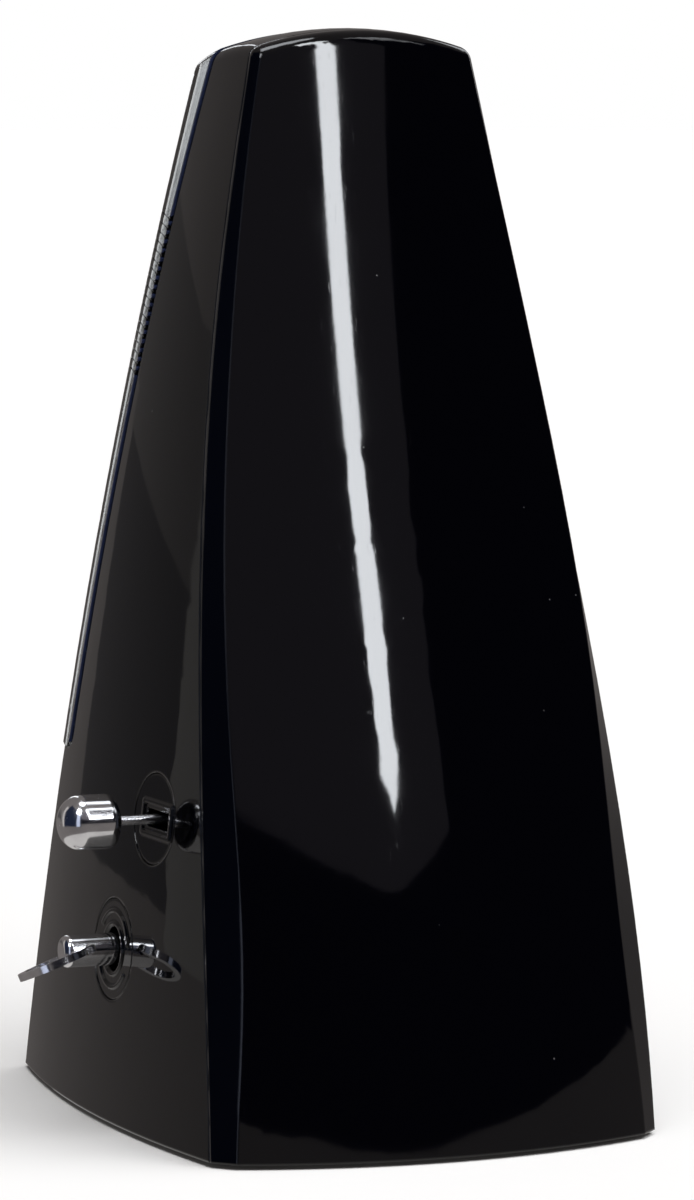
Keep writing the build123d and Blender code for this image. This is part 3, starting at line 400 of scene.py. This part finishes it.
def emissive(name, colour, strength=1.0):
    """A material that only gives out light."""
    material = bpy.data.materials.new(name)
    material.use_nodes = True
    tree = material.node_tree
    tree.nodes.remove(tree.nodes["Principled BSDF"])
    light = tree.nodes.new("ShaderNodeEmission")
    light.inputs["Color"].default_value = (*colour, 1.0)
    light.inputs["Strength"].default_value = strength
    tree.links.new(light.outputs["Emission"], tree.nodes["Material Output"].inputs["Surface"])
    return material


def mesh_piece(name, vertices, faces, material):
    """An object in the scene, made from these vertices and faces."""
    mesh = bpy.data.meshes.new(name)
    mesh.from_pydata(vertices, [], faces)
    mesh.materials.append(material)
    piece = bpy.data.objects.new(name, mesh)
    bpy.context.scene.collection.objects.link(piece)
    return piece


def only_reflected(card):
    """Hides a card from everything but reflections, and keeps it out of the object."""
    card.visible_camera = False
    card.visible_diffuse = False
    card.visible_shadow = False
    card.visible_transmission = False


def studio_card(name, azimuths, low, high, colour, strength=1.0, reach=CARD_REACH):
    """A curved card round the object that only reflections see. low and high are heights over azimuth."""
    first, last = azimuths
    columns = max(2, math.ceil((last - first) / 2))
    vertices, faces = [], []
    for i in range(columns + 1):
        azimuth = first + (last - first) * i / columns
        for height in (low(azimuth), high(azimuth)):
            vertices.append(toward(azimuth, 0) * reach + Vector((0, 0, height)))
    for i in range(columns):
        faces.append((2 * i, 2 * i + 2, 2 * i + 3, 2 * i + 1))
    only_reflected(mesh_piece(name, vertices, faces, emissive(name, colour, strength)))


def round_card(name, height, radius, colour, strength):
    """A level round card that only reflections see."""
    sides = 32
    rim = [(radius * math.cos(i * math.tau / sides), radius * math.sin(i * math.tau / sides), height)
           for i in range(sides)]
    only_reflected(mesh_piece(name, rim, [tuple(range(sides))], emissive(name, colour, strength)))


def level(height):
    """An edge of a card that runs level at this height."""
    return lambda azimuth: height


def make_back_cards():
    """What the back shows: a grey wall with a tall strip of light, between black flags."""
    wall = (152, 205.9)
    wall_apex = 195.0
    strip_middle, strip_half = 196.65, 1.55

    def wall_foot(azimuth):
        """Lower edge of the grey wall: a shallow V."""
        return 0.50 + 0.0034 * abs(azimuth - wall_apex)

    def strip_foot(azimuth):
        """Lower end of the strip: a steep V, so that it ends in a point."""
        return 0.575 + 0.03 * abs(azimuth - strip_middle)

    studio_card("grey_wall", wall, wall_foot, level(CARD_TOP), WALL_COLOUR)
    studio_card("flag_low", wall, level(FLAG_FOOT), wall_foot, FLAG_COLOUR)
    studio_card("flag_side", (wall[1], 262), level(FLAG_FOOT), level(CARD_TOP), FLAG_COLOUR)
    studio_card("strip_light", (strip_middle - strip_half, strip_middle + strip_half), strip_foot,
                level(1.9), LAMP_COLOUR, 18.0, LAMP_REACH)
    studio_card("strip_head", (192.2, 201.0), level(1.75), level(2.7), LAMP_COLOUR, 16.0,
                LAMP_REACH - 0.02)


def make_corner_cards():
    """What the bevel at the rear corner shows: navy, with a paler line along each of its edges."""
    foot, top = level(CARD_FOOT), level(CARD_TOP)
    studio_card("flag_corner", (59, 130), foot, top, (0.015, 0.021, 0.042))
    studio_card("corner_glow", (130, 146), foot, top, (0.72, 0.79, 1.0))
    studio_card("corner_lamp", (124, 148), level(1.3), level(2.8), LAMP_COLOUR, 16.0, LAMP_REACH)
    studio_card("flag_back", (146, 152), foot, top, FLAG_COLOUR)
    studio_card("edge_wall", (47, 59), foot, level(1.2), (0.60, 0.57, 0.55))


def make_side_cards():
    """What the key side shows: soft dark shades with a slanting lower edge, beside a paler wall."""
    shades, shade_step, shade_top = (12, 37), 0.16, 0.32

    def shade_foot(azimuth):
        """Lower edge of the shade, which rises slowly round the object."""
        return 0.0006 * (azimuth - 16) - 0.087

    studio_card("side_shade", shades, shade_foot, level(shade_step), (0.080, 0.076, 0.078))
    studio_card("side_shade_top", shades, level(shade_step), level(shade_top), (0.130, 0.122, 0.120))
    studio_card("side_wall", (shades[1], 47), level(-0.1), level(0.5), (0.250, 0.240, 0.230))


def make_soft_lamps():
    """Soft lamps that the front, the dome's rim and the chrome parts show."""
    studio_card("rim_lamp", (214, 232), level(1.6), level(2.6), LAMP_COLOUR, 4.0)
    studio_card("front_lamp", (286, 312), level(0.35), level(1.7), LAMP_COLOUR, 3.0)
    studio_card("front_strip", (349, 353), level(0.25), level(1.3), LAMP_COLOUR, 2.5)
    round_card("near_floor", -0.06, 0.22, (0.62, 0.60, 0.58), 1.0)
    round_card("overhead_lamp", 2.0, 0.35, LAMP_COLOUR, 6.0)


def make_floor():
    """A plain pale floor, which the gloss of the object doesn't show."""
    material = bpy.data.materials.new("pale_floor")
    material.use_nodes = True
    shader = material.node_tree.nodes["Principled BSDF"]
    shader.inputs["Base Color"].default_value = (0.86, 0.86, 0.86, 1.0)
    shader.inputs["Roughness"].default_value = 0.9
    shader.inputs["Specular IOR Level"].default_value = 0.0
    corners = [(x * FLOOR_RADIUS, y * FLOOR_RADIUS, 0) for x, y in ((-1, -1), (1, -1), (1, 1), (-1, 1))]
    floor = mesh_piece("floor", corners, [(0, 1, 2, 3)], material)
    floor.visible_glossy = False


def make_fill_light():
    """A wide soft light from above, for matt surfaces and the floor. It leaves no reflection."""
    data = bpy.data.lights.new("overhead_fill", "SUN")
    data.energy = 3.4
    data.angle = math.radians(70)
    lamp = bpy.data.objects.new("overhead_fill", data)
    lamp.rotation_euler = toward(200, 68).to_track_quat("Z", "Y").to_euler()
    lamp.visible_glossy = False
    bpy.context.scene.collection.objects.link(lamp)


def make_world():
    """A dim room for reflections. Seen directly or through the cover, it is the plain white backdrop."""
    world = bpy.data.worlds.new("studio")
    world.use_nodes = True
    tree = world.node_tree
    room = tree.nodes["Background"]
    room.inputs["Color"].default_value = (*ROOM_COLOUR, 1.0)
    backdrop = tree.nodes.new("ShaderNodeBackground")
    backdrop.inputs["Color"].default_value = (1, 1, 1, 1)
    path = tree.nodes.new("ShaderNodeLightPath")
    seen = tree.nodes.new("ShaderNodeMath")
    seen.operation = "MAXIMUM"
    mix = tree.nodes.new("ShaderNodeMixShader")
    tree.links.new(path.outputs["Is Camera Ray"], seen.inputs[0])
    tree.links.new(path.outputs["Is Transmission Ray"], seen.inputs[1])
    tree.links.new(seen.outputs[0], mix.inputs["Fac"])
    tree.links.new(room.outputs[0], mix.inputs[1])
    tree.links.new(backdrop.outputs[0], mix.inputs[2])
    tree.links.new(mix.outputs[0], tree.nodes["World Output"].inputs["Surface"])
    bpy.context.scene.world = world
    bpy.context.scene.view_settings.view_transform = "Standard"


def make_camera():
    """The camera at the photograph's angle."""
    back = toward(VIEW_AZIMUTH, VIEW_ELEVATION)
    level_right = Vector((0, 0, 1)).cross(back).normalized()
    level_up = back.cross(level_right)
    roll = math.radians(VIEW_ROLL)
    right = level_right * math.cos(roll) + level_up * math.sin(roll)
    up = level_up * math.cos(roll) - level_right * math.sin(roll)
    target = Vector((0, 0, VIEW_TARGET_HEIGHT)) + level_right * VIEW_TARGET_RIGHT
    data = bpy.data.cameras.new("camera")
    data.lens = VIEW_LENS
    data.sensor_width = VIEW_SENSOR
    camera = bpy.data.objects.new("camera", data)
    camera.matrix_world = Matrix((right, up, back)).transposed().to_4x4()
    camera.location = target + back * VIEW_DISTANCE
    bpy.context.scene.collection.objects.link(camera)
    bpy.context.scene.camera = camera


dress_frame(make_materials())
make_scale_print()
make_floor()
make_back_cards()
make_corner_cards()
make_side_cards()
make_soft_lamps()
make_fill_light()
make_world()
make_camera()
